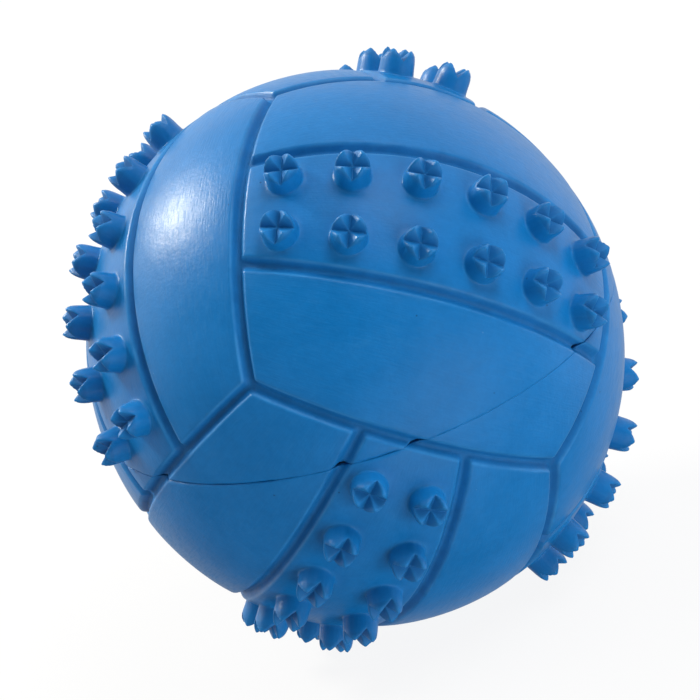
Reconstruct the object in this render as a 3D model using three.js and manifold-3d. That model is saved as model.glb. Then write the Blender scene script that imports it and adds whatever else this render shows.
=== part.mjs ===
// A hollow studded rubber ball with a panel pattern, moulded as two halves and bonded round its middle,
// with a loose jingle bell shut inside. Millimetres and degrees. The mould axis is +Z and the bonded seam is at z = 0.
import * as THREE from 'three';
import { mergeVertices } from 'three/addons/utils/BufferGeometryUtils.js';
import Module from 'manifold-3d';

const wasm = await Module();
wasm.setup();

// Ball body, measured over the smooth panels.
const ballAcross = 70;
const ballAlong = 73.6;
const shellWall = 8;
const cavityFacets = 36;

// Grooves between the panels. Each of the six square fields has three strips.
const grooveWidth = 2.1;
const grooveFloorWidth = 0.3;
const grooveDepth = 0.95;
const stripHalfAngle = 15.4;

// Studs, in two rows along the middle strip of each field.
const studBaseDiameter = 4.84;
const studShoulderDiameter = 4.6;
const studShoulderHeight = 2.3;
const studTipDiameter = 3.4;
const studHeight = 3.3;
const studValleyDepth = 1.5;
const studValleyAngle = 73;
const studRoot = 1.2;
const studSides = 12;
const studColumns = 6;
const studEndAngle = 10.5;
const studRowAngle = 7.45;

// Bond between the two halves.
const bondThickness = 0.3;
const bondSetback = 0.6;
const bondInset = 0.4;
const bondFacets = 72;

// Jingle bell: two pressed cups, a strap loop and a loose pea.
const bellDiameter = 22;
const bellSheet = 0.6;
const bellFacets = 28;
const bellProfileSteps = 7;
const flangeWidth = 0.9;
const soundSlotWidth = 1.4;
const soundSlotSpan = 13;
const soundHoleDiameter = 3.2;
const strapThickness = 0.8;
const strapWidth = 1.8;
const loopInnerWidth = 3.2;
const loopHeight = 4.6;
const loopFootLength = 1.4;
const loopArcSteps = 12;
const peaDiameter = 6;
const peaFacets = 16;
const fitGap = 0.3;

const acrossRadius = ballAcross / 2;
const alongRadius = ballAlong / 2;
const cavityAcross = acrossRadius - shellWall;
const cavityAlong = alongRadius - shellWall;
const bellRadius = bellDiameter / 2;
const bellInner = bellRadius - bellSheet;
const peaRadius = peaDiameter / 2;
const farOut = 2 * Math.max(ballAcross, ballAlong) + 4 * studHeight;

const radians = THREE.MathUtils.degToRad;
const degrees = THREE.MathUtils.radToDeg;
const fieldHalfAngle = degrees(Math.PI / 4);
const studPitchAngle = 2 * (fieldHalfAngle - studEndAngle) / (studColumns - 1);

// A closed manifold solid from any closed three.js geometry, with its faces turned outward.
function solidOf(geometry) {
  const bare = new THREE.BufferGeometry();
  bare.setAttribute('position', geometry.getAttribute('position').clone());
  bare.setIndex(geometry.index ? geometry.index.clone() : null);
  const merged = mergeVertices(bare, 1e-4);
  const place = merged.getAttribute('position');
  const corners = [];
  let volume = 0;
  const [a, b, c] = [new THREE.Vector3(), new THREE.Vector3(), new THREE.Vector3()];
  for (let i = 0; i < merged.index.count; i += 3) {
    const ids = [merged.index.getX(i), merged.index.getX(i + 1), merged.index.getX(i + 2)];
    if (ids[0] === ids[1] || ids[1] === ids[2] || ids[0] === ids[2]) continue;
    corners.push(ids);
    a.fromBufferAttribute(place, ids[0]);
    b.fromBufferAttribute(place, ids[1]);
    c.fromBufferAttribute(place, ids[2]);
    volume += a.dot(b.cross(c));
  }
  const turned = volume < 0 ? corners.map(([p, q, r]) => [p, r, q]) : corners;
  return new wasm.Manifold(new wasm.Mesh({
    numProp: 3,
    vertProperties: new Float32Array(place.array),
    triVerts: new Uint32Array(turned.flat()),
  }));
}

function geometryOf(solid) {
  const mesh = solid.getMesh();
  const geometry = new THREE.BufferGeometry();
  geometry.setAttribute('position', new THREE.BufferAttribute(new Float32Array(mesh.vertProperties), 3));
  geometry.setIndex(new THREE.BufferAttribute(new Uint32Array(mesh.triVerts), 1));
  geometry.computeVertexNormals();
  return geometry;
}

function unionOf(solids) {
  return solids.slice(1).reduce((sum, next) => sum.add(next), solids[0]);
}

// The panel pattern is laid out on a cube. Its body diagonal is the mould axis.
const mouldAxis = new THREE.Vector3(-1, 1, 1).normalize();
const rightAxis = new THREE.Vector3(1, 1, 0).normalize();
const backAxis = new THREE.Vector3().crossVectors(mouldAxis, rightAxis);
const patternToBall = new THREE.Matrix4().makeBasis(rightAxis, backAxis, mouldAxis).transpose();

// A direction in the pattern, put on the ball at a depth below the panels.
function onBall(direction, depth) {
  const unit = direction.clone().normalize().applyMatrix4(patternToBall);
  return new THREE.Vector3(unit.x * acrossRadius, unit.y * acrossRadius, unit.z * alongRadius)
    .addScaledVector(unit, -depth);
}

// How much an angle across a field shrinks where the field narrows towards its ends.
function narrowing(angle, along) {
  const across = Math.tan(radians(angle)) ** 2;
  const length = Math.tan(radians(along)) ** 2;
  return (1 + across) * Math.sqrt(1 + length) / (1 + across + length);
}

// Grid lines from the middle of a field to its edge, close together at the groove shoulders.
function gridAngles(along) {
  const half = (width) => degrees(width / 2 / acrossRadius);
  const stripTop = half(grooveWidth) / narrowing(stripHalfAngle, along);
  const stripFloor = half(grooveFloorWidth) / narrowing(stripHalfAngle, along);
  const edgeTop = half(grooveWidth) / narrowing(fieldHalfAngle, along);
  const edgeFloor = half(grooveFloorWidth) / narrowing(fieldHalfAngle, along);
  const outerStart = stripHalfAngle + stripTop;
  const outerEnd = fieldHalfAngle - edgeTop;
  return [
    0,
    (stripHalfAngle - stripTop) / 2,
    stripHalfAngle - stripTop,
    stripHalfAngle - stripFloor,
    stripHalfAngle + stripFloor,
    outerStart,
    outerStart + (outerEnd - outerStart) / 3,
    outerStart + (outerEnd - outerStart) * 2 / 3,
    outerEnd,
    fieldHalfAngle - edgeFloor,
    fieldHalfAngle,
  ];
}

const stripShoulders = [2, 5];
const gridSteps = gridAngles(0).length - 1;

// The ball's outer skin: a gridded cube blown up to the ball, with the grooves let into it.
function ballSkin() {
  const cube = new THREE.BoxGeometry(2, 2, 2, 2 * gridSteps, 2 * gridSteps, 2 * gridSteps);
  const place = cube.getAttribute('position');
  const point = new THREE.Vector3();
  for (let i = 0; i < place.count; i++) {
    point.fromBufferAttribute(place, i);
    const steps = point.toArray().map((value) => Math.round(value * gridSteps));
    const face = steps.findIndex((step) => Math.abs(step) === gridSteps);
    const [lengthSide, acrossSide] = [(face + 1) % 3, (face + 2) % 3];
    const lines = [Math.abs(steps[lengthSide]), Math.abs(steps[acrossSide])];
    const plain = gridAngles(0);
    const angles = [gridAngles(plain[lines[1]])[lines[0]], gridAngles(plain[lines[0]])[lines[1]]];
    const edgeLine = gridSteps - 2;
    const inEdge = lines[0] > edgeLine || lines[1] > edgeLine;
    const inStrip = lines[1] > stripShoulders[0] && lines[1] < stripShoulders[1];
    const direction = new THREE.Vector3();
    direction.setComponent(face, Math.sign(steps[face]));
    direction.setComponent(lengthSide, Math.sign(steps[lengthSide]) * Math.tan(radians(angles[0])));
    direction.setComponent(acrossSide, Math.sign(steps[acrossSide]) * Math.tan(radians(angles[1])));
    const spot = onBall(direction, inEdge || inStrip ? grooveDepth : 0);
    place.setXYZ(i, spot.x, spot.y, spot.z);
  }
  return solidOf(cube);
}

// One stud standing on z = 0: a shouldered peg whose top is cut by two crossing V valleys, leaving four blunt teeth.
function studSolid() {
  const shoulder = studShoulderDiameter / 2;
  const taper = (studBaseDiameter / 2 - shoulder) / studShoulderHeight;
  const peg = turned([
    [0, -studRoot],
    [studBaseDiameter / 2 + taper * studRoot, -studRoot],
    [shoulder, studShoulderHeight],
    [studTipDiameter / 2, studHeight],
    [0, studHeight],
  ], studSides).rotate([0, 0, degrees(Math.PI / studSides)]);
  const valleyTop = studHeight + studRoot;
  const valleyFloor = studHeight - studValleyDepth;
  const half = (valleyTop - valleyFloor) * Math.tan(radians(studValleyAngle / 2));
  const outline = new THREE.Shape([
    new THREE.Vector2(0, valleyFloor),
    new THREE.Vector2(half, valleyTop),
    new THREE.Vector2(-half, valleyTop),
  ]);
  const run = 2 * studBaseDiameter;
  const valley = new THREE.ExtrudeGeometry(outline, { depth: run, bevelEnabled: false });
  valley.translate(0, 0, -run / 2);
  valley.rotateX(Math.PI / 2);
  const crossing = valley.clone().rotateZ(Math.PI / 2);
  return peg.subtract(solidOf(valley)).subtract(solidOf(crossing));
}

// All studs, each square to the ball's surface with its valleys along and across its strip.
function studSolids() {
  const stud = studSolid();
  const placed = [];
  for (let face = 0; face < 3; face++) {
    for (const side of [-1, 1]) {
      for (let column = 0; column < studColumns; column++) {
        for (const row of [-1, 1]) {
          const along = (column - (studColumns - 1) / 2) * studPitchAngle;
          const direction = new THREE.Vector3();
          direction.setComponent(face, side);
          direction.setComponent((face + 1) % 3, Math.tan(radians(along)));
          direction.setComponent((face + 2) % 3, row * Math.tan(radians(studRowAngle)));
          const spot = onBall(direction, 0);
          const outward = new THREE.Vector3(
            spot.x / acrossRadius ** 2, spot.y / acrossRadius ** 2, spot.z / alongRadius ** 2).normalize();
          const strip = new THREE.Vector3().setComponent((face + 1) % 3, 1).applyMatrix4(patternToBall);
          const across = new THREE.Vector3().crossVectors(outward, strip).normalize();
          const lengthwise = new THREE.Vector3().crossVectors(across, outward);
          const stand = new THREE.Matrix4().makeBasis(lengthwise, across, outward).setPosition(spot);
          placed.push(stud.transform(stand.toArray()));
        }
      }
    }
  }
  return placed;
}

function halfSpace(side) {
  const block = new THREE.BoxGeometry(farOut, farOut, farOut);
  block.translate(0, 0, side * (farOut / 2 + bondThickness / 2));
  return solidOf(block);
}

const cavity = new THREE.SphereGeometry(1, cavityFacets, cavityFacets / 2).rotateX(Math.PI / 2);
cavity.scale(cavityAcross, cavityAcross, cavityAlong);
const shell = unionOf([ballSkin(), ...studSolids()]).subtract(solidOf(cavity));

// A ring or cup turned about the Z axis from a closed outline of radius and height.
function turned(outline, facets) {
  const lathe = new THREE.LatheGeometry([...outline, outline[0]].map(([r, z]) => new THREE.Vector2(r, z)), facets);
  return solidOf(lathe.rotateX(Math.PI / 2));
}

function bondRing() {
  const outer = acrossRadius - grooveDepth - bondSetback;
  const inner = cavityAcross + bondInset;
  const half = bondThickness / 2;
  return turned([[inner, -half], [outer, -half], [outer, half], [inner, half]], bondFacets);
}

// Points of a bell wall from the flange to the pole, at one radius.
function wallArc(radius, side, fromHeight) {
  const start = Math.asin(fromHeight / radius);
  return Array.from({ length: bellProfileSteps + 1 }, (_, step) => {
    const angle = start + (Math.PI / 2 - start) * step / bellProfileSteps;
    const atPole = step === bellProfileSteps;
    return [atPole ? 0 : radius * Math.cos(angle), side * radius * Math.sin(angle)];
  });
}

const flangeRadius = bellRadius + flangeWidth;

function upperCup() {
  const outer = wallArc(bellRadius, 1, bellSheet);
  const inner = wallArc(bellInner, 1, 0).reverse();
  const cup = turned([[flangeRadius, 0], [flangeRadius, bellSheet], ...outer, ...inner], bellFacets);
  const slot = new THREE.BoxGeometry(
    loopInnerWidth + 2 * strapThickness + 2 * fitGap, strapWidth + 2 * fitGap, bellRadius);
  slot.translate(0, 0, bellRadius);
  return cup.subtract(solidOf(slot));
}

function lowerCup() {
  const lipInner = flangeRadius + fitGap;
  const lipOuter = lipInner + bellSheet;
  const lipTop = bellSheet + fitGap;
  const lipEdge = bellRadius + fitGap;
  const outer = wallArc(bellRadius, -1, bellSheet).reverse();
  const inner = wallArc(bellInner, -1, 0);
  const crimp = [
    [lipOuter, -bellSheet],
    [lipOuter, lipTop + bellSheet],
    [lipEdge, lipTop + bellSheet],
    [lipEdge, lipTop],
    [lipInner, lipTop],
    [lipInner, 0],
  ];
  const cup = turned([...outer, ...crimp, ...inner], bellFacets);
  const cuts = [];
  for (const turn of [0, Math.PI / 2]) {
    const slit = new THREE.BoxGeometry(soundSlotSpan, soundSlotWidth, bellRadius);
    cuts.push(solidOf(slit.translate(0, 0, -bellRadius).rotateZ(turn)));
    for (const end of [-1, 1]) {
      const hole = new THREE.CylinderGeometry(
        soundHoleDiameter / 2, soundHoleDiameter / 2, bellRadius, peaFacets);
      hole.rotateX(Math.PI / 2).translate(end * soundSlotSpan / 2, 0, -bellRadius);
      cuts.push(solidOf(hole.rotateZ(turn)));
    }
  }
  return cup.subtract(unionOf(cuts));
}

// A bent strap: an arch above the cup, two legs through its slot and two feet turned out under it.
function strapLoop() {
  const innerHalf = loopInnerWidth / 2;
  const outerHalf = innerHalf + strapThickness;
  const footHalf = outerHalf + loopFootLength;
  const footTop = Math.sqrt(bellInner ** 2 - footHalf ** 2) - fitGap;
  const footFloor = footTop - strapThickness;
  const springing = bellRadius + loopHeight - outerHalf;
  const arc = (radius, from, to) => Array.from({ length: loopArcSteps + 1 }, (_, step) => {
    const angle = from + (to - from) * step / loopArcSteps;
    return new THREE.Vector2(radius * Math.cos(angle), springing + radius * Math.sin(angle));
  });
  const outline = new THREE.Shape([
    new THREE.Vector2(innerHalf, footFloor),
    new THREE.Vector2(footHalf, footFloor),
    new THREE.Vector2(footHalf, footTop),
    new THREE.Vector2(outerHalf, footTop),
    ...arc(outerHalf, 0, Math.PI),
    new THREE.Vector2(-outerHalf, footTop),
    new THREE.Vector2(-footHalf, footTop),
    new THREE.Vector2(-footHalf, footFloor),
    new THREE.Vector2(-innerHalf, footFloor),
    ...arc(innerHalf, Math.PI, 0),
  ]);
  const strap = new THREE.ExtrudeGeometry(outline, { depth: strapWidth, bevelEnabled: false });
  strap.translate(0, 0, -strapWidth / 2).rotateX(Math.PI / 2);
  return solidOf(strap);
}

// At rest the bell lies on the floor of the cavity and the pea on the floor of the bell.
const bellHeight = fitGap + bellRadius - cavityAlong;
const peaHeight = bellHeight - bellInner + fitGap + peaRadius;

const rubberBlue = { color: 0x2f6fb4, roughness: 0.45, metalness: 0 };
const platedSteel = { color: 0xb4b5b6, roughness: 0.25, metalness: 1 };
const plainSteel = { color: 0x8f9194, roughness: 0.4, metalness: 1 };

const ball = new THREE.Group();
ball.name = 'studded_rubber_ball';

function addPiece(name, solid, look, height = 0) {
  const mesh = new THREE.Mesh(geometryOf(solid), new THREE.MeshStandardMaterial(look));
  mesh.name = name;
  mesh.position.z = height;
  ball.add(mesh);
}

const pea = new THREE.SphereGeometry(peaRadius, peaFacets, peaFacets / 2).rotateX(Math.PI / 2);

addPiece('upper_half_shell', shell.intersect(halfSpace(1)), rubberBlue);
addPiece('lower_half_shell', shell.intersect(halfSpace(-1)), rubberBlue);
addPiece('seam_cement', bondRing(), { color: 0x1d3f66, roughness: 0.6, metalness: 0 });
addPiece('bell_upper_cup', upperCup(), platedSteel, bellHeight);
addPiece('bell_lower_cup', lowerCup(), platedSteel, bellHeight);
addPiece('bell_loop', strapLoop(), platedSteel, bellHeight);
addPiece('bell_pea', solidOf(pea), plainSteel, peaHeight);

export default ball;
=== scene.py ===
import math
import random

import bmesh
import bpy
import numpy as np
from mathutils import Matrix, Vector


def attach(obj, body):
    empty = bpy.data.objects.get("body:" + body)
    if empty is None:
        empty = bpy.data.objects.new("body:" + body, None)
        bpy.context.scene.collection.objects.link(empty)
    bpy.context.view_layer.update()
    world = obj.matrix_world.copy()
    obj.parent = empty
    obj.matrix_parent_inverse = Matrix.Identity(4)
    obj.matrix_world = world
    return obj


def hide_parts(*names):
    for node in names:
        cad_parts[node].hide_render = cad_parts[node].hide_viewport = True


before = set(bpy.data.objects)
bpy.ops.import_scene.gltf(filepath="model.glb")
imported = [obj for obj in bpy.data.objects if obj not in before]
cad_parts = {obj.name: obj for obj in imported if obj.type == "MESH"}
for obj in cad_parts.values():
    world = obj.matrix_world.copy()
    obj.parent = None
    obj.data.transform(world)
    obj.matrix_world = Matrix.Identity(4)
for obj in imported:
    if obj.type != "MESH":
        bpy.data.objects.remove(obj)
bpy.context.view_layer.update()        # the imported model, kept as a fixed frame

scene = bpy.context.scene
scene.view_settings.view_transform = "Standard"
mm = 0.001
print("frame loaded with", len(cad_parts), "nodes")


# Camera: the picture's own view, with the ball's axis leaning to the left
shot = {
    "azimuth": -35.4, "elevation": 22.5, "lean": 18.4,   # degrees
    "distance": 460 * mm, "lens": 180.8, "sensor": 36.0,
    "pixels": 700, "ballMiddle": (355.5, 348.9),         # where the ball's middle falls
    "clip": (0.01, 20.0),
}


def cameraAxes():
    az, el, lean = (math.radians(shot[k]) for k in ("azimuth", "elevation", "lean"))
    back = Vector((math.sin(az) * math.cos(el), -math.cos(az) * math.cos(el), math.sin(el)))
    levelRight = Vector((0, 0, 1)).cross(back).normalized()
    levelUp = back.cross(levelRight)
    right = levelRight * math.cos(lean) - levelUp * math.sin(lean)
    up = levelRight * math.sin(lean) + levelUp * math.cos(lean)
    return right, up, back


right, up, back = cameraAxes()


def placeCamera():
    data = bpy.data.cameras.new("studioCamera")
    data.lens = shot["lens"]
    data.sensor_width = shot["sensor"]
    camera = bpy.data.objects.new("studioCamera", data)
    scene.collection.objects.link(camera)
    perPixel = shot["distance"] * shot["sensor"] / shot["lens"] / shot["pixels"]
    middle = shot["pixels"] / 2
    aim = right * ((middle - shot["ballMiddle"][0]) * perPixel)
    aim += up * ((shot["ballMiddle"][1] - middle) * perPixel)
    turn = Matrix((right, up, back)).transposed()
    camera.matrix_world = Matrix.Translation(aim + back * shot["distance"]) @ turn.to_4x4()
    data.clip_start, data.clip_end = shot["clip"]
    scene.camera = camera


placeCamera()
print("camera placed")


# Ball skin: six square fields on a slightly long ball, three strips each, grooves between them
ballForm = {
    "across": 70.0 * mm, "along": 73.6 * mm, "wall": 8.0 * mm,
    "stripAngle": 15.35, "stripBow": 0.4,                # degrees, the grooves beside the studded strip
    "grooveDepth": 0.95 * mm, "grooveFloor": 0.22 * mm,  # floor and shoulder are half widths
    "grooveShoulder": 0.95 * mm, "grooveLip": 0.10 * mm,
    "rollDrop": 0.08 * mm, "rollReach": 1.8 * mm,        # soft roll of each panel towards its edge
}
fieldGrid = {                                            # lines crowd together at the groove shoulders
    "edgeGaps": [g * mm for g in (0.2, 0.36, 0.52, 0.68, 0.84, 1.0, 1.18, 1.5)],
    "stripGaps": [g * mm for g in (0.0, 0.2, 0.36, 0.52, 0.68, 0.84, 1.0, 1.18, 1.5, 2.0)],
    "innerGaps": [g * mm for g in (-1.2, -1.0, -0.84, -0.68, -0.52, -0.36, -0.2)],
    "panelSteps": 13, "cellSteps": 12, "lipSteps": 9,
    "lineRounds": 4, "gridRounds": 5,                    # rounds until lines and their crossings settle
}
panelMap = {"radius": 35, "fieldStep": 40.0}             # millimetres, so no two fields share their streaks

halfAcross, halfAlong = ballForm["across"] / 2, ballForm["along"] / 2
spread = np.array([halfAcross, halfAcross, halfAlong])
toBall = np.array([[1.0, 1.0, 0.0], [0.0, 0.0, 0.0], [-1.0, 1.0, 1.0]])   # field axes to ball axes
toBall[0] /= math.sqrt(2)
toBall[2] /= math.sqrt(3)
toBall[1] = np.cross(toBall[2], toBall[0])


# straight groove wall with a small rounding at its foot and its lip
def softRamp(gap):
    floor, shoulder = ballForm["grooveFloor"], ballForm["grooveShoulder"]
    shifts = np.linspace(-1, 1, fieldGrid["lipSteps"]) * ballForm["grooveLip"]
    return sum(np.clip((gap + d - floor) / (shoulder - floor), 0, 1) for d in shifts) / len(shifts)


def unitRows(rows):
    return rows / np.linalg.norm(rows, axis=1)[:, None]


def stripLine(tanLength):
    along = np.arctan(np.abs(tanLength)) / (math.pi / 4)
    return np.radians(ballForm["stripAngle"] + ballForm["stripBow"] * along ** 2)


# depth below the plain ball, from a direction's parts along a field's normal, length and width
def grooveDip(normalPart, lengthPart, acrossPart):
    strip = stripLine(lengthPart / normalPart)
    gaps = (
        (normalPart - np.abs(lengthPart)) / math.sqrt(2),
        (normalPart - np.abs(acrossPart)) / math.sqrt(2),
        np.abs(acrossPart) * np.cos(strip) - normalPart * np.sin(strip),
    )
    keep = np.ones_like(normalPart)
    nearest = np.ones_like(normalPart)
    for gap in gaps:
        gap = np.abs(halfAcross * np.arcsin(np.clip(gap, -1, 1)))
        keep *= softRamp(gap)
        nearest = np.minimum(nearest, gap)
    roll = ballForm["rollDrop"] * np.exp(-(nearest / ballForm["rollReach"]) ** 2)
    return ballForm["grooveDepth"] * (1.0 - keep) + roll


# millimetres along and across the strip, and a number for the field
def fieldSpots(face, side, points):
    unit = points / spread @ toBall
    depth = unit[:, face] * side
    along = panelMap["radius"] * np.arctan2(unit[:, (face + 1) % 3], depth)
    across = panelMap["radius"] * np.arctan2(unit[:, (face + 2) % 3], depth)
    field = np.full(len(points), panelMap["fieldStep"] * (2 * face + (side > 0)))
    return np.stack((along, across, field), axis=1)


def layOnBall(face, side, directions):
    unit = unitRows(directions)
    dip = grooveDip(unit[:, face] * side, unit[:, (face + 1) % 3], unit[:, (face + 2) % 3])
    turned = unit @ toBall.T
    normal = unitRows(turned / spread)
    return turned * spread - normal * dip[:, None], dip


def fieldDirection(face, side, tanLength, tanAcross):
    rows = np.zeros((len(tanLength), 3))
    rows[:, face] = side
    rows[:, (face + 1) % 3] = tanLength
    rows[:, (face + 2) % 3] = tanAcross
    return rows


# tangents of the lines that lie a true distance inside a field's edge or beside the strip's groove
def edgeTan(gap, other):
    value = np.ones_like(other)
    for _ in range(fieldGrid["lineRounds"]):
        value = 1.0 - math.sqrt(2) * np.sqrt(1 + other ** 2 + value ** 2) * math.sin(gap / halfAcross)
    return value


def stripTan(gap, other):
    strip = stripLine(other)
    value = np.tan(strip)
    for _ in range(fieldGrid["lineRounds"]):
        reach = np.sqrt(1 + other ** 2 + value ** 2)
        value = (np.sin(strip) + reach * math.sin(gap / halfAcross)) / np.cos(strip)
    return value


def lengthLines():
    steps = fieldGrid["cellSteps"] * studForm["columns"]
    half = studForm["pitch"] * studForm["columns"] / 2
    lines = [("edge", -1, g) for g in fieldGrid["edgeGaps"]]
    lines += [("angle", 1, -half + 2 * half * k / steps) for k in range(steps + 1)]
    lines += [("edge", 1, g) for g in reversed(fieldGrid["edgeGaps"])]
    return lines


def acrossLines():
    outward = [("cell", 1, k / fieldGrid["cellSteps"]) for k in range(1, fieldGrid["cellSteps"])]
    outward += [("strip", 1, g) for g in fieldGrid["innerGaps"] + fieldGrid["stripGaps"]]
    outward += [("panel", 1, k / fieldGrid["panelSteps"]) for k in range(1, fieldGrid["panelSteps"])]
    outward += [("edge", 1, g) for g in reversed(fieldGrid["edgeGaps"])]
    inward = [(kind, -1, value) for kind, _, value in reversed(outward)]
    return inward + [("cell", 1, 0.0)] + outward


def lineTans(line, other):
    kind, sign, value = line
    if kind == "edge":
        return sign * edgeTan(value, other)
    if kind == "angle":
        return np.full_like(other, math.tan(math.radians(value)))
    if kind == "strip":
        return sign * stripTan(value, other)
    if kind == "cell":
        return sign * np.tan(np.arctan(stripTan(fieldGrid["innerGaps"][0], other)) * value)
    inner = np.arctan(stripTan(fieldGrid["stripGaps"][-1], other))
    outer = np.arctan(edgeTan(fieldGrid["edgeGaps"][-1], other))
    return sign * np.tan(inner + (outer - inner) * value)


skin = {
    "points": [], "spots": [], "groove": [], "stud": [], "count": 0,
    "faces": [], "ends": {}, "corners": {},
}


# groove is the depth below the plain ball in groove depths, plus painted shade and grime in the stud valleys
# and round their feet; stud is 0 on the skin, 1 on a stud and up to 2 at its paler tips
def addPoints(points, spots, dip, stud):
    first = skin["count"]
    skin["points"].append(points)
    skin["spots"].append(spots)
    skin["groove"].append(dip / ballForm["grooveDepth"])
    skin["stud"].append(np.full(len(points), stud))
    skin["count"] += len(points)
    return np.arange(first, skin["count"])


def addBand(outer, inner, flip):
    for k in range(len(outer)):
        m = (k + 1) % len(outer)
        quad = (outer[k], outer[m], inner[m], inner[k])
        skin["faces"].append(quad[::-1] if flip else quad)


# Studs: a short round post whose top is cut by two crossed valleys into four blunt teeth
studForm = {
    "columns": 6, "pitch": 13.8, "row": 7.45,            # degrees along and across the strip
    "slide": (-1.0, 0.9, -0.9),                          # and each pair of fields' own shift along it
    "base": 2.32 * mm, "wall": 2.26 * mm,                # radius at the foot and above it
    "dome": 3.85 * mm, "roundness": 3.5,
    "valley": 1.8 * mm, "slope": 1.36,                   # height of the valley crossing, rise of the teeth
    "fillet": 0.2 * mm, "ridgeSoft": 0.18 * mm, "tipSoft": 0.06 * mm, "valleySoft": 0.02 * mm,
    "tilt": 0.03, "heightJitter": 0.03, "seed": 11,
    "grimeAndShade": 2.2, "grimeAndShadeRise": 1.1 * mm,                 # painted shade and grime in the valleys, against that in the grooves
    "footShadeAndDirt": 0.07,                                    # and painted shade and grime round the foot
    "paleFrom": 2.6 * mm, "paleRise": 0.7 * mm,          # height where the teeth start to pale
}
studGrid = {
    "quarterAngles": (0, 3, 12, 22.5, 33, 42, 45, 48, 57, 67.5, 78, 87),   # crowded at ridge and valley
    "quarterStart": -135,
    "footParts": (0.4, 0.75, 1.0), "filletAngles": (40, 80), "filletRoom": 0.7, "wallParts": (0.33, 0.67),
    "crownShares": (0.998, 0.986, 0.962, 0.925, 0.87, 0.79, 0.69, 0.57, 0.43, 0.28, 0.13),
    "shadedShare": 0.93,                                  # the outer wall gets no painted shade and no grime
}
quarterStarts = [studGrid["quarterStart"] + 90 * q for q in range(4)]
ringAngles = np.radians([start + a for start in quarterStarts for a in studGrid["quarterAngles"]])


def crownHeight(x, y, stretch):
    valley, ridge, soft = studForm["valleySoft"], studForm["ridgeSoft"], studForm["tipSoft"]
    ax = np.sqrt(x ** 2 + valley ** 2) - valley
    ay = np.sqrt(y ** 2 + valley ** 2) - valley
    blend = np.maximum(ridge - np.abs(ax - ay), 0) / ridge
    rise = studForm["valley"] + studForm["slope"] * (np.minimum(ax, ay) - blend ** 2 * ridge / 4)
    power = studForm["roundness"]
    share = np.minimum(np.hypot(x, y) / studForm["wall"], 1.0)
    dome = studForm["dome"] * (1.0 - share ** power) ** (1.0 / power)
    return stretch * (dome - soft * np.log1p(np.exp((dome - rise) / soft)))


def addStud(face, side, column, row, loop, edge, rng):
    steps = column - (studForm["columns"] - 1) / 2
    along = math.radians(steps * studForm["pitch"] + side * studForm["slide"][face])
    across = row * math.radians(studForm["row"])
    heading = fieldDirection(face, side, np.array([math.tan(along)]), np.array([math.tan(across)]))
    middle = unitRows(heading) @ toBall.T
    foot = (middle * spread)[0]
    normal = unitRows(middle / spread)[0]
    strip = toBall[:, (face + 1) % 3]
    lengthwise = strip - normal * strip.dot(normal)
    lengthwise /= np.linalg.norm(lengthwise)
    crosswise = side * np.cross(normal, lengthwise)
    lean = normal + studForm["tilt"] * (lengthwise * rng.uniform(-1, 1) + crosswise * rng.uniform(-1, 1))
    lean /= np.linalg.norm(lean)
    stretch = 1 + rng.uniform(-1, 1) * studForm["heightJitter"]
    cosines, sines = np.cos(ringAngles), np.sin(ringAngles)
    outward = cosines[:, None] * lengthwise + sines[:, None] * crosswise

    def surfaceAt(x, y):
        rows = (foot + x[:, None] * lengthwise + y[:, None] * crosswise) / spread @ toBall
        return layOnBall(face, side, rows)

    lift = (foot @ normal) / (edge @ normal)               # lays the cell's edge on the stud's own plane
    flat = edge * lift[:, None] - foot
    edgeX, edgeY = flat @ lengthwise, flat @ crosswise
    base = studForm["base"]
    room = float(np.min(np.hypot(edgeX, edgeY))) - base
    fillet = min(studForm["fillet"], studGrid["filletRoom"] * room)
    rings = []
    for part in studGrid["footParts"]:
        reach = (base + fillet) * part
        points, dip = surfaceAt(edgeX * (1 - part) + reach * cosines, edgeY * (1 - part) + reach * sines)
        # the foot rings darken towards the stud: painted shade in the crease, and grime
        rings.append((points, dip + studForm["footShadeAndDirt"] * part ** 2 * ballForm["grooveDepth"], 0.0))
    for angle in studGrid["filletAngles"]:
        bend = math.radians(angle)
        reach = base + fillet * (1 - math.sin(bend))
        points, dip = surfaceAt(reach * cosines, reach * sines)
        points = points + lean * fillet * (1 - math.cos(bend))
        rings.append((points, dip, angle / studGrid["filletAngles"][-1]))
    crown = []
    for share in studGrid["crownShares"]:
        reach = studForm["wall"] * share
        level = crownHeight(reach * cosines, reach * sines, stretch)
        rise = level / stretch
        inside = share < studGrid["shadedShare"]
        # painted shade and grime, darkest at the valley crossing
        sunk = np.clip(1 - (rise - studForm["valley"]) / studForm["grimeAndShadeRise"], 0, 1) * inside
        tips = np.clip((rise - studForm["paleFrom"]) / studForm["paleRise"], 0, 1)
        points = foot + reach * outward + level[:, None] * lean
        crown.append((points, studForm["grimeAndShade"] * sunk * ballForm["grooveDepth"], 1.0 + tips))
    low, high = rings[-1][0], crown[0][0]
    for part in studGrid["wallParts"]:
        rings.append((low + (high - low) * part, np.zeros(len(low)), 1.0))
    rings += crown
    outer = loop
    for points, dip, stud in rings:
        inner = addPoints(points, fieldSpots(face, side, points), dip, stud)
        addBand(outer, inner, side < 0)
        outer = inner
    centre = (foot + crownHeight(np.zeros(1), np.zeros(1), stretch)[0] * lean)[None, :]
    # painted shade and grime at the valley crossing
    dip = np.full(1, studForm["grimeAndShade"] * ballForm["grooveDepth"])
    tip = addPoints(centre, fieldSpots(face, side, centre), dip, 1.0)[0]
    for k in range(len(outer)):
        m = (k + 1) % len(outer)
        skin["faces"].append((tip, outer[m], outer[k]) if side < 0 else (outer[k], outer[m], tip))


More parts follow.
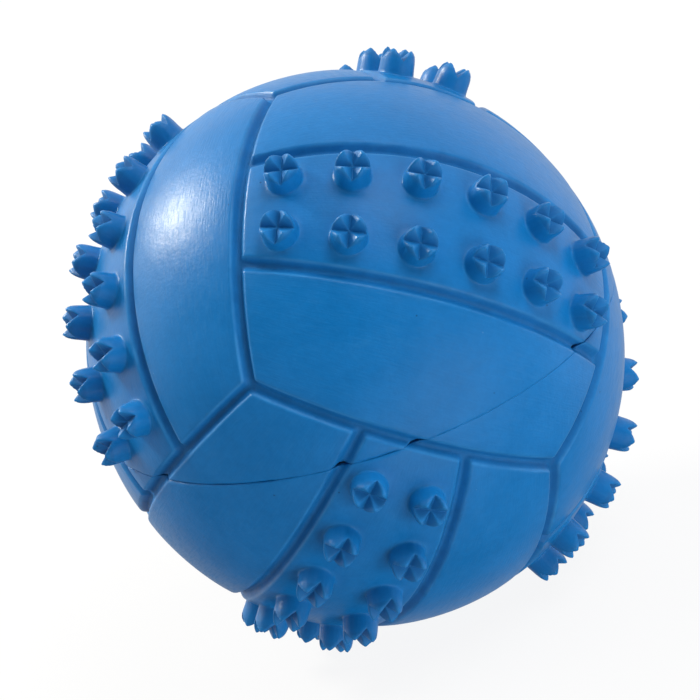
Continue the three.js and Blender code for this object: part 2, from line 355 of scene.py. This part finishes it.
def addField(face, side, rng):
    lengths, acrosses = lengthLines(), acrossLines()
    tanLength = np.zeros((len(lengths), len(acrosses)))
    tanAcross = np.zeros_like(tanLength)
    for _ in range(fieldGrid["gridRounds"]):
        for i, line in enumerate(lengths):
            tanLength[i] = lineTans(line, tanAcross[i])
        for j, line in enumerate(acrosses):
            tanAcross[:, j] = lineTans(line, tanLength[:, j])
    points, dip = layOnBall(face, side, fieldDirection(face, side, tanLength.ravel(), tanAcross.ravel()))
    spots = fieldSpots(face, side, points)
    steps = fieldGrid["cellSteps"]
    first = len(fieldGrid["edgeGaps"])
    middle = len(acrosses) // 2
    kept = np.ones(tanLength.shape, bool)
    plain = np.ones((len(lengths) - 1, len(acrosses) - 1), bool)
    cells = []
    for column in range(studForm["columns"]):
        for row in (-1, 1):
            i = first + column * steps
            j = middle if row > 0 else middle - steps
            kept[i + 1:i + steps, j + 1:j + steps] = False
            plain[i:i + steps, j:j + steps] = False
            loop = [(i + k, j) for k in range(steps)]
            loop += [(i + steps, j + k) for k in range(steps)]
            loop += [(i + steps - k, j + steps) for k in range(steps)]
            loop += [(i, j + steps - k) for k in range(steps)]
            cells.append((column, row, loop))
    index = np.full(tanLength.shape, -1)
    flat = kept.ravel()
    index[kept] = addPoints(points[flat], spots[flat], dip[flat], 0.0)
    for i, j in zip(*np.nonzero(plain)):
        quad = (index[i, j], index[i + 1, j], index[i + 1, j + 1], index[i, j + 1])
        skin["faces"].append(quad[::-1] if side < 0 else quad)
    for column, row, loop in cells:
        where = np.array([i * len(acrosses) + j for i, j in loop])
        addStud(face, side, column, row, index.ravel()[where], points[where], rng)
    for sign, k in ((-1, 0), (1, -1)):
        skin["ends"][face, side, "length", sign] = (index[k], np.arctan(tanAcross[k]))
        skin["ends"][face, side, "across", sign] = (index[:, k], np.arctan(tanLength[:, k]))
        for other, m in ((-1, 0), (1, -1)):
            skin["corners"][face, side, sign, other] = index[k, m]


# closes the strip between two rows of points that run side by side
def zipRows(rowA, rowB, spotsA, spotsB):
    triangles, i, j = [], 0, 0
    while i < len(rowA) - 1 or j < len(rowB) - 1:
        if j == len(rowB) - 1 or (i < len(rowA) - 1 and spotsA[i + 1] <= spotsB[j + 1]):
            triangles.append((rowA[i], rowA[i + 1], rowB[j]))
            i += 1
        else:
            triangles.append((rowA[i], rowB[j + 1], rowB[j]))
            j += 1
    return triangles


def joinFields():
    points = np.concatenate(skin["points"])
    corners = skin["corners"]
    triangles = []
    for face in range(3):
        beside = (face + 1) % 3
        for side in (-1, 1):
            for sign in (-1, 1):
                rowA, spotsA = skin["ends"][face, side, "length", sign]
                rowB, spotsB = skin["ends"][beside, sign, "across", side]
                triangles += zipRows(rowA, rowB, spotsA, spotsB)
    for a in (-1, 1):
        for b in (-1, 1):
            for c in (-1, 1):
                triangles.append((corners[0, a, b, c], corners[1, b, c, a], corners[2, c, a, b]))
    for a, b, c in triangles:
        facing = np.cross(points[b] - points[a], points[c] - points[a]).dot(points[a])
        skin["faces"].append((a, b, c) if facing > 0 else (a, c, b))


rng = random.Random(studForm["seed"])
for face in range(3):
    for side in (-1, 1):
        addField(face, side, rng)
joinFields()


def skinMesh():
    mesh = bpy.data.meshes.new("wholeSkin")
    faces = [tuple(int(v) for v in f) for f in skin["faces"]]
    mesh.from_pydata(np.concatenate(skin["points"]).tolist(), [], faces)
    for name in ("groove", "stud"):
        layer = mesh.attributes.new(name, "FLOAT", "POINT")
        layer.data.foreach_set("value", np.concatenate(skin[name]).astype(np.float32))
    layer = mesh.attributes.new("panelSpot", "FLOAT_VECTOR", "POINT")
    layer.data.foreach_set("vector", np.concatenate(skin["spots"]).astype(np.float32).ravel())
    return mesh


wholeSkin = skinMesh()
print("ball skin has", len(wholeSkin.vertices), "points and", len(wholeSkin.polygons), "faces")


# Seam: the skin is cut into two halves, their lips rounded and gaping a little where a groove crosses
seamForm = {
    "loops": [z * mm for z in (0.0, 0.12, 0.3, 0.6)], "cutSlack": 1e-7,
    "halfGap": 0.032 * mm, "gape": 0.2 * mm, "reach": 0.6 * mm, "reachSlack": 1e-6,
    "lipDrop": 0.13 * mm, "lipReach": 0.45 * mm,
    "dropAlways": 0.25, "dropUneven": 0.75, "dropOpen": 1.2,
    "turns": 2881, "window": 19, "seed": 1443,           # steps round the seam, and steps that blend
    "uneven": 0.55, "unevenLimits": (0.06, 1.8),         # width of the hairline, in long and short waves
    "longWaves": (2, 3, 5, 8), "longShare": 0.7,
    "shortWaves": (17, 29, 41, 67), "shortShare": 0.4,
    "open": 0.55, "openLimits": (0.05, 1.2),             # how far it gapes from groove to groove
    "openWaves": (2, 3, 5, 9), "openShare": 0.35,
    "rimRadius": 33.6 * mm, "rimLift": 0.16 * mm,        # stays clear of the cement ring
    "cavityRound": 96, "cavityRows": 14,
}


def wander(angles, rng, waves):
    total = np.zeros_like(angles)
    for k in waves:
        total += math.sqrt(2 / len(waves)) * np.sin(k * angles + rng.uniform(0, 2 * math.pi))
    return total


def boundaryLoop(bm):
    edges = {e for e in bm.edges if len(e.link_faces) == 1}
    first = next(iter(sorted(edges, key=lambda e: e.index)))
    loop, spot, used = [first.verts[0]], first.verts[1], {first}
    while spot is not loop[0]:
        loop.append(spot)
        step = next(e for e in spot.link_edges if e in edges and e not in used)
        used.add(step)
        spot = step.other_vert(spot)
    return loop


# half the gap and the hairline's width, all round the seam
def seamGap(turns, angles, groove):
    order = np.argsort(angles)
    grooveRound = np.interp(turns, angles[order], groove[order], period=2 * math.pi)
    window = np.hanning(seamForm["window"])
    side = seamForm["window"] // 2
    padded = np.concatenate((grooveRound[-side - 1:-1], grooveRound, grooveRound[1:side + 1]))
    grooveRound = np.convolve(padded, window / window.sum(), "valid")
    rng = random.Random(seamForm["seed"])
    uneven = seamForm["uneven"] + seamForm["longShare"] * wander(turns, rng, seamForm["longWaves"])
    uneven = uneven + seamForm["shortShare"] * wander(turns, rng, seamForm["shortWaves"])
    uneven = np.clip(uneven, *seamForm["unevenLimits"])
    share = seamForm["open"] + seamForm["openShare"] * wander(turns, rng, seamForm["openWaves"])
    share = np.clip(share, *seamForm["openLimits"])
    gap = seamForm["halfGap"] * uneven + seamForm["gape"] * share * np.minimum(grooveRound, 1.0) ** 2
    return gap, uneven


def cutHalf(name, sign):
    bm = bmesh.new()
    bm.from_mesh(wholeSkin)
    for level in seamForm["loops"]:
        everything = bm.verts[:] + bm.edges[:] + bm.faces[:]
        bmesh.ops.bisect_plane(bm, geom=everything, dist=seamForm["cutSlack"],
                               plane_co=(0, 0, sign * level), plane_no=(0, 0, sign), clear_inner=level == 0)
    bm.edges.index_update()
    loop = boundaryLoop(bm)
    grooveLayer = bm.verts.layers.float["groove"]
    turns = np.linspace(-math.pi, math.pi, seamForm["turns"])
    gap, uneven = seamGap(turns, np.array([math.atan2(v.co.y, v.co.x) for v in loop]),
                          np.array([v[grooveLayer] for v in loop]))
    for v in bm.verts:
        depth = abs(v.co.z)
        if depth > seamForm["reach"] + seamForm["reachSlack"]:
            continue
        turn = math.atan2(v.co.y, v.co.x)
        opening = float(np.interp(turn, turns, gap))
        width = min(1.0, float(np.interp(turn, turns, uneven)))
        drop = seamForm["lipDrop"] * max(0.0, 1 - depth / seamForm["lipReach"]) ** 2
        drop *= (seamForm["dropAlways"] + seamForm["dropUneven"] * width
                 + seamForm["dropOpen"] * opening / seamForm["gape"])
        v.co.z += sign * opening * (1 - depth / seamForm["reach"])
        v.co.x -= math.cos(turn) * drop
        v.co.y -= math.sin(turn) * drop
    closeHalf(bm, loop, sign)
    mesh = bpy.data.meshes.new(name)
    bm.to_mesh(mesh)
    bm.free()
    mesh.polygons.foreach_set("use_smooth", [True] * len(mesh.polygons))
    piece = bpy.data.objects.new(name, mesh)
    scene.collection.objects.link(piece)
    return piece


# rim, and the hollow behind it
def closeHalf(bm, loop, sign):
    angles = np.unwrap([math.atan2(v.co.y, v.co.x) for v in loop])
    if angles[-1] < angles[0]:
        loop = loop[::-1]
        angles = np.unwrap([math.atan2(v.co.y, v.co.x) for v in loop])
    angles = np.maximum.accumulate(angles)
    radius, lift = seamForm["rimRadius"], sign * seamForm["rimLift"]
    rim = [bm.verts.new((radius * math.cos(a), radius * math.sin(a), lift)) for a in angles]
    for k in range(len(loop)):
        m = (k + 1) % len(loop)
        bm.faces.new((loop[k], loop[m], rim[m], rim[k]))
    around = seamForm["cavityRound"]
    hollowAcross, hollowAlong = halfAcross - ballForm["wall"], halfAlong - ballForm["wall"]
    spots = [angles[0] + 2 * math.pi * k / around for k in range(around)]
    rows = []
    for step in range(seamForm["cavityRows"]):
        tilt = math.pi / 2 * step / seamForm["cavityRows"]
        if step == 0:
            tilt = math.asin(seamForm["rimLift"] / hollowAlong)
        reach, level = hollowAcross * math.cos(tilt), sign * hollowAlong * math.sin(tilt)
        rows.append([bm.verts.new((reach * math.cos(a), reach * math.sin(a), level)) for a in spots])
    top = bm.verts.new((0, 0, sign * hollowAlong))
    rimSpots = list(angles) + [angles[0] + 2 * math.pi]
    rowSpots = spots + [angles[0] + 2 * math.pi]
    for three in zipRows(rim + rim[:1], rows[0] + rows[0][:1], rimSpots, rowSpots):
        bm.faces.new(three)
    for low, high in zip(rows, rows[1:]):
        for k in range(around):
            m = (k + 1) % around
            bm.faces.new((low[k], low[m], high[m], high[k]))
    for k in range(around):
        bm.faces.new((rows[-1][k], rows[-1][(k + 1) % around], top))
    bmesh.ops.recalc_face_normals(bm, faces=bm.faces[:])


halves = {"upper": cutHalf("upperHalf", 1), "lower": cutHalf("lowerHalf", -1)}
bpy.data.meshes.remove(wholeSkin)
for piece in halves.values():
    print(piece.name, "has", len(piece.data.vertices), "points")


# Materials
def addNode(tree, kind, inputs=None, **settings):
    node = tree.nodes.new(kind)
    for key, value in settings.items():
        setattr(node, key, value)
    for key, value in (inputs or {}).items():
        if isinstance(value, bpy.types.NodeSocket):
            tree.links.new(value, node.inputs[key])
        else:
            node.inputs[key].default_value = value
    return node


def startMaterial(name):
    material = bpy.data.materials.new(name)
    material.use_nodes = True
    tree = material.node_tree
    return material, tree, tree.nodes["Principled BSDF"]


def noiseNode(tree, where, scale, detail, roughness=0.5, distortion=0.0):
    node = addNode(tree, "ShaderNodeTexNoise", {"Vector": where, "Scale": scale, "Detail": detail,
                                                "Roughness": roughness, "Distortion": distortion})
    return node.outputs["Fac"]


def rampNode(tree, factor, stops):
    node = addNode(tree, "ShaderNodeValToRGB", {"Fac": factor})
    marks = node.color_ramp.elements
    while len(marks) < len(stops):
        marks.new(0.5)
    for mark, (spot, colour) in zip(marks, stops):
        mark.position = spot
        mark.color = (*colour, 1.0)
    return node.outputs["Color"]


# grey that goes from low to high over a span
def fadeNode(tree, factor, span, low=0.0, high=1.0):
    return rampNode(tree, factor, ((span[0], (low,) * 3), (span[1], (high,) * 3)))


def mapNode(tree, value, source, target):
    node = addNode(tree, "ShaderNodeMapRange", {"Value": value,
                                                "From Min": source[0], "From Max": source[1],
                                                "To Min": target[0], "To Max": target[1]})
    return node.outputs["Result"]


def mixColour(tree, factor, first, second):
    node = addNode(tree, "ShaderNodeMix", data_type="RGBA")
    for key, value in ((0, factor), (6, first), (7, (*second, 1))):
        if isinstance(value, bpy.types.NodeSocket):
            tree.links.new(value, node.inputs[key])
        else:
            node.inputs[key].default_value = value
    return node.outputs[2]


def mathNode(tree, operation, first, second=0.0, clamp=False):
    node = addNode(tree, "ShaderNodeMath", {0: first, 1: second}, operation=operation)
    node.use_clamp = clamp
    return node.outputs[0]


def addBump(tree, shader, height, strength, distance):
    node = addNode(tree, "ShaderNodeBump", {"Height": height, "Strength": strength, "Distance": distance})
    tree.links.new(node.outputs["Normal"], shader.inputs["Normal"])


rubberFinish = {                                         # noises are scale, detail, roughness, distortion
    "deep": (0.0030, 0.149, 0.427), "full": (0.0050, 0.173, 0.487),
    "mottle": (110.0, 5.0, 0.6), "mottleSpan": (0.3, 0.7),
    # the edge tone is the painted highlight along groove lips, and the paler stud tips
    "worn": (0.018, 0.225, 0.535), "edge": (0.045, 0.270, 0.600), "dust": (0.42, 0.52, 0.66),
    # the dark tone stands for grime and painted shade in grooves and stud valleys, and darkens the fine
    # mottle
    "grimeAndShade": (0.002, 0.060, 0.200), "pit": (0.003, 0.035, 0.110),
    "fine": (900.0, 3.0, 0.7), "fineSpan": (0.36, 0.64), "fineShare": 0.12,
    "streakStretch": (0.38, 4.2, 1.0), "streak": (1.0, 2.0, 0.5), "streakSpan": (0.45, 0.75),
    "streakShare": 0.14, "streakRough": 0.14,
    "streakRise": (0.022, 0.042), "stripEdge": (8.0, 10.5),   # stronger on the panels beside the strip
    "smudgeAndShade": (330.0, 5.0, 0.65), "smudgeAndShadeSpan": (0.42, 0.66),
    "smudgeAndShadeReach": 12.0, "smudgeAndShadeShare": 0.20,            # spreads painted shade and grime from the grooves onto their lips
    # the grooves are darkened with painted shade and grime
    "grooveShare": 0.14, "grooveRough": 0.25,
    "lipHighlightStops": ((0.05, 0), (0.10, 1), (0.26, 1), (0.50, 0)),   # where down the groove's wall the painted lip highlight lies
    "lipPatches": (150.0, 4.0, 0.6), "lipPatchSpan": (0.38, 0.62), "lipPatchLeast": 0.15,
    "lipHighlightShare": 0.45, "tipShare": 0.22,
    "scuff": (190.0, 6.0, 0.72, 0.8), "scuffSpan": (0.62, 0.74), "scuffShare": 0.30, "scuffRough": 0.12,
    "sparse": (260.0, 2.0, 0.5),
    "dustSpecks": (420.0, 0.045, 0.64, 1.0), "dustShare": 0.10,   # scale, size, least and most of sparse
    "pitSpecks": (380.0, 0.055, 0.0, 0.42), "pitShare": 0.6,
    "rough": (0.28, 0.38), "gloss": 0.39,
    "grain": (2600.0, 2.0, 0.5), "grainRise": 0.034,
    "ripple": (330.0, 3.0, 0.5), "rippleRise": 0.10, "speckRise": 0.03,
    "bump": 0.6, "bumpReach": mm,
}


def makeRubber():
    look = rubberFinish
    material, tree, shader = startMaterial("blueRubber")
    place = addNode(tree, "ShaderNodeTexCoord").outputs["Object"]
    panel = addNode(tree, "ShaderNodeAttribute", attribute_name="panelSpot").outputs["Vector"]
    groove = addNode(tree, "ShaderNodeAttribute", attribute_name="groove").outputs["Fac"]
    stud = addNode(tree, "ShaderNodeAttribute", attribute_name="stud").outputs["Fac"]

    def noise(where, name):
        return noiseNode(tree, where, *look[name])

    def fade(factor, name, low=0.0, high=1.0):
        return fadeNode(tree, factor, look[name], low, high)

    def times(first, second, clamp=False):
        return mathNode(tree, "MULTIPLY", first, second, clamp)

    def plus(first, second, clamp=False):
        return mathNode(tree, "ADD", first, second, clamp)

    mottle = noise(place, "mottle")
    colour = rampNode(tree, mottle, tuple(zip(look["mottleSpan"], (look["deep"], look["full"]))))
    fine = fade(noise(place, "fine"), "fineSpan", 1.0, 0.0)
    colour = mixColour(tree, times(fine, look["fineShare"]), colour, look["grimeAndShade"])

    # streaks left by the mould, drawn out along each strip
    drawn = addNode(tree, "ShaderNodeMapping", {"Vector": panel, "Scale": look["streakStretch"]})
    streak = noise(drawn.outputs["Vector"], "streak")
    streaks = fade(streak, "streakSpan")
    colour = mixColour(tree, times(streaks, look["streakShare"]), colour, look["worn"])

    # painted shade and grime in the grooves and on their lips
    smudgeAndShade = times(times(groove, look["smudgeAndShadeReach"], True), fade(noise(place, "smudgeAndShade"), "smudgeAndShadeSpan"))
    dirtAndShade = plus(times(groove, look["grooveShare"]), times(smudgeAndShade, look["smudgeAndShadeShare"]), True)
    colour = mixColour(tree, dirtAndShade, colour, look["grimeAndShade"])

    # painted highlight along the groove lips, paler stud tips, then scuffs
    lipHighlight = rampNode(tree, groove, [(spot, (tone,) * 3) for spot, tone in look["lipHighlightStops"]])
    lipPatches = fade(noise(place, "lipPatches"), "lipPatchSpan", look["lipPatchLeast"])
    lipHighlight = times(times(lipHighlight, lipPatches), mathNode(tree, "LESS_THAN", stud, 0.5))
    tips = mathNode(tree, "SUBTRACT", stud, 1.0, True)
    lipHighlightAndPaleTips = plus(times(lipHighlight, look["lipHighlightShare"]), times(tips, look["tipShare"]))
    colour = mixColour(tree, lipHighlightAndPaleTips, colour, look["edge"])
    scuff = fade(noise(place, "scuff"), "scuffSpan")
    colour = mixColour(tree, times(scuff, look["scuffShare"]), colour, look["worn"])

    # specks of dust and small pits, in patches
    sparse = noise(place, "sparse")

    def specks(scale, size, low, high):
        cells = addNode(tree, "ShaderNodeTexVoronoi", {"Vector": place, "Scale": scale, "Randomness": 1.0})
        dot = mathNode(tree, "LESS_THAN", cells.outputs["Distance"], size)
        above = mathNode(tree, "GREATER_THAN", sparse, low)
        below = mathNode(tree, "LESS_THAN", sparse, high)
        return times(dot, times(above, below))

    dust = specks(*look["dustSpecks"])
    colour = mixColour(tree, times(dust, look["dustShare"]), colour, look["dust"])
    pits = specks(*look["pitSpecks"])
    colour = mixColour(tree, times(pits, look["pitShare"]), colour, look["pit"])
    tree.links.new(colour, shader.inputs["Base Color"])

    rough = mapNode(tree, mottle, look["mottleSpan"], look["rough"])
    rough = plus(rough, times(streaks, look["streakRough"]))
    rough = plus(rough, times(scuff, look["scuffRough"]), True)
    rough = plus(rough, times(mathNode(tree, "MINIMUM", groove, 1.0), look["grooveRough"]), True)
    tree.links.new(rough, shader.inputs["Roughness"])
    shader.inputs["Specular IOR Level"].default_value = look["gloss"]

    across = addNode(tree, "ShaderNodeSeparateXYZ", {"Vector": panel}).outputs["Y"]
    aside = mathNode(tree, "ABSOLUTE", across)
    streakRise = mapNode(tree, aside, look["stripEdge"], look["streakRise"])
    height = times(noise(place, "grain"), look["grainRise"])
    height = plus(height, times(noise(place, "ripple"), look["rippleRise"]))
    height = plus(height, times(streak, streakRise))
    height = plus(height, times(mathNode(tree, "SUBTRACT", dust, pits), look["speckRise"]))
    addBump(tree, shader, height, look["bump"], look["bumpReach"])
    return material


cementFinish = {
    "dark": (0.004, 0.012, 0.030), "light": (0.012, 0.035, 0.075),
    "lumps": (900.0, 5.0), "lumpSpan": (0.35, 0.65),
    "rough": (0.6, 0.9), "gloss": 0.1, "bump": 0.5, "bumpReach": 0.1 * mm,
}


def makeCement():
    look = cementFinish
    material, tree, shader = startMaterial("seamCement")
    place = addNode(tree, "ShaderNodeTexCoord").outputs["Object"]
    lumps = noiseNode(tree, place, *look["lumps"])
    colour = rampNode(tree, lumps, tuple(zip(look["lumpSpan"], (look["dark"], look["light"]))))
    tree.links.new(colour, shader.inputs["Base Color"])
    tree.links.new(mapNode(tree, lumps, (0.0, 1.0), look["rough"]), shader.inputs["Roughness"])
    shader.inputs["Specular IOR Level"].default_value = look["gloss"]
    addBump(tree, shader, lumps, look["bump"], look["bumpReach"])
    return material


platedFinish = {
    "bright": (0.78, 0.77, 0.74), "dull": (0.56, 0.55, 0.53), "spots": (0.22, 0.19, 0.15),
    "rough": (0.16, 0.34),
}
steelFinish = {
    "bright": (0.60, 0.60, 0.61), "dull": (0.40, 0.40, 0.41), "spots": (0.20, 0.13, 0.08),
    "rough": (0.26, 0.46),
}
metalGrain = {
    "cloud": (300.0, 5.0), "cloudSpan": (0.35, 0.65),
    "pits": (1100.0, 4.0, 0.7), "stainSpan": (0.66, 0.76), "stainShare": 0.6, "stainRough": 0.25,
    "bump": 0.25, "bumpReach": 0.05 * mm,
}


def makeMetal(name, finish):
    material, tree, shader = startMaterial(name)
    shader.inputs["Metallic"].default_value = 1.0
    place = addNode(tree, "ShaderNodeTexCoord").outputs["Object"]
    cloud = noiseNode(tree, place, *metalGrain["cloud"])
    colour = rampNode(tree, cloud, tuple(zip(metalGrain["cloudSpan"], (finish["dull"], finish["bright"]))))
    pits = noiseNode(tree, place, *metalGrain["pits"])
    stain = fadeNode(tree, pits, metalGrain["stainSpan"])
    share = mathNode(tree, "MULTIPLY", stain, metalGrain["stainShare"])
    tree.links.new(mixColour(tree, share, colour, finish["spots"]), shader.inputs["Base Color"])
    rough = mapNode(tree, cloud, (0.0, 1.0), finish["rough"])
    rough = mathNode(tree, "ADD", rough, mathNode(tree, "MULTIPLY", stain, metalGrain["stainRough"]), True)
    tree.links.new(rough, shader.inputs["Roughness"])
    addBump(tree, shader, pits, metalGrain["bump"], metalGrain["bumpReach"])
    return material


def dress(piece, material):
    piece.data.materials.clear()
    piece.data.materials.append(material)


rubber = makeRubber()
for key, node in (("upper", "upper_half_shell"), ("lower", "lower_half_shell")):
    piece = halves[key]
    dress(piece, rubber)
    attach(piece, "ball")
    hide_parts(node)


def dressNode(name, material):
    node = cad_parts[name]
    if not node.material_slots:
        raise RuntimeError(name + " has no material slot")
    for slot in node.material_slots:
        slot.material = material


dressNode("seam_cement", makeCement())
plated = makeMetal("platedSteel", platedFinish)
for name in ("bell_upper_cup", "bell_lower_cup", "bell_loop"):
    dressNode(name, plated)
dressNode("bell_pea", makeMetal("plainSteel", steelFinish))
print("materials set")


# Studio: pale floor, soft boxes, white surroundings
studio = {
    "floorSize": 6.0, "floorTone": 0.80, "floorRough": 0.9, "floorGloss": 0.1, "shade": 0.10,
    "room": 0.52,                                        # light from the walls
    "hollow": 0.70, "hollowAim": (-0.20, 0.45, 0.90), "hollowSpan": (0.35, 0.95),   # its dark side
    "gloss": 0.93, "glossAim": (-0.15, 0.70, -0.70), "glossSpan": (-0.15, 1.0),     # white backdrop in gloss
    "glows": [((-0.85, 0.05, -0.52), 0.45), ((0.80, 0.50, -0.30), 0.45)], "glowSpan": (0.65, 1.0),
    "tints": {"leftBox": (1.0, 0.94, 0.80)},
    # place to the right, up and towards the viewer; width, height, strength; shown as a highlight or not
    "boxes": [
        ("leftBox", (-0.83, 0.56, -0.17), 0.32, 0.22, 40.0, True),
        ("topBox", (0.20, 0.87, 0.45), 0.50, 0.50, 0.8, True),
        ("leftBack", (-1.01, 0.0, -0.27), 0.50, 0.50, 3.2, False),
        ("rightBack", (1.01, 0.0, -0.27), 0.50, 0.50, 3.2, False),
        ("leftHigh", (-0.70, 0.70, 0.36), 0.50, 0.50, 1.6, False),
        ("topWall", (0.0, 0.99, 0.36), 0.50, 0.50, 2.3, False),
        ("topFront", (0.26, 0.79, 0.65), 0.50, 0.50, 5.8, False),
        ("rightLow", (0.68, -0.26, 0.68), 0.65, 0.50, 3.0, False),
        ("lowFront", (0.43, -0.76, 0.65), 0.50, 0.50, 3.5, False),
    ],
}


def makeFloor():
    size = studio["floorSize"] / 2
    level = min(v.co.z for p in halves.values() for v in p.data.vertices)
    corners = [(-size, -size, level), (size, -size, level), (size, size, level), (-size, size, level)]
    mesh = bpy.data.meshes.new("paleFloor")
    mesh.from_pydata(corners, [], [(0, 1, 2, 3)])
    floor = bpy.data.objects.new("paleFloor", mesh)
    scene.collection.objects.link(floor)
    material, tree, shader = startMaterial("paleFloor")
    tone = studio["floorTone"]
    shader.inputs["Base Color"].default_value = (tone, tone, tone, 1)
    shader.inputs["Roughness"].default_value = studio["floorRough"]
    shader.inputs["Specular IOR Level"].default_value = studio["floorGloss"]
    glow = addNode(tree, "ShaderNodeEmission", {"Color": (1, 1, 1, 1), "Strength": 1.0})
    path = addNode(tree, "ShaderNodeLightPath")
    white = mathNode(tree, "MULTIPLY", path.outputs["Is Camera Ray"], 1 - studio["shade"])
    mix = addNode(tree, "ShaderNodeMixShader", {0: white, 1: shader.outputs[0], 2: glow.outputs[0]})
    tree.links.new(mix.outputs[0], tree.nodes["Material Output"].inputs["Surface"])
    dress(floor, material)
    floor.visible_diffuse = False                        # a clear light table: it only takes the shadow
    floor.visible_glossy = False
    floor.visible_shadow = False


def makeWorld():
    world = bpy.data.worlds.new("studioRoom")
    scene.world = world
    world.use_nodes = True
    tree = world.node_tree
    tree.nodes.clear()
    path = addNode(tree, "ShaderNodeLightPath")
    heading = addNode(tree, "ShaderNodeTexCoord").outputs["Generated"]

    # how far a direction lies towards an aim
    def towards(aim, span, blend, strength):
        axis = (right * aim[0] + up * aim[1] + back * aim[2]).normalized()
        dot = addNode(tree, "ShaderNodeVectorMath", {0: heading, 1: tuple(axis)}, operation="DOT_PRODUCT")
        share = addNode(tree, "ShaderNodeMapRange", {"Value": dot.outputs["Value"], "From Min": span[0],
                                                     "From Max": span[1]}, interpolation_type=blend)
        return mathNode(tree, "MULTIPLY", share.outputs["Result"], strength)

    def background(strength):
        node = addNode(tree, "ShaderNodeBackground", {"Color": (1, 1, 1, 1), "Strength": strength})
        return node.outputs[0]

    loss = studio["room"] * studio["hollow"]
    dark = towards(studio["hollowAim"], studio["hollowSpan"], "SMOOTHSTEP", loss)
    walls = background(mathNode(tree, "SUBTRACT", studio["room"], dark))
    sheen = towards(studio["glossAim"], studio["glossSpan"], "LINEAR", studio["gloss"])
    for aim, strength in studio["glows"]:
        sheen = mathNode(tree, "ADD", sheen, towards(aim, studio["glowSpan"], "SMOOTHSTEP", strength))
    mirrored = mathNode(tree, "MAXIMUM", path.outputs["Is Glossy Ray"], path.outputs["Is Transmission Ray"])
    mix = addNode(tree, "ShaderNodeMixShader", {0: mirrored, 1: walls, 2: background(sheen)})
    mix = addNode(tree, "ShaderNodeMixShader", {0: path.outputs["Is Camera Ray"], 1: mix.outputs[0],
                                                2: background(1.0)})
    output = addNode(tree, "ShaderNodeOutputWorld")
    tree.links.new(mix.outputs[0], output.inputs["Surface"])


def makeBoxes():
    for name, place, width, height, strength, glossy in studio["boxes"]:
        data = bpy.data.lights.new(name, "AREA")
        data.shape = "RECTANGLE"
        data.size, data.size_y = width, height
        data.energy = strength * math.pi * width * height
        data.color = studio["tints"].get(name, (1.0, 1.0, 1.0))
        lamp = bpy.data.objects.new(name, data)
        lamp.visible_glossy = glossy
        scene.collection.objects.link(lamp)
        spot = right * place[0] + up * place[1] + back * place[2]
        lamp.location = spot
        facing = spot.normalized()
        across = up.cross(facing).normalized()
        lamp.rotation_euler = Matrix((across, facing.cross(across), facing)).transposed().to_euler()


makeFloor()
makeWorld()
makeBoxes()
print("studio set")

bpy.context.view_layer.update()
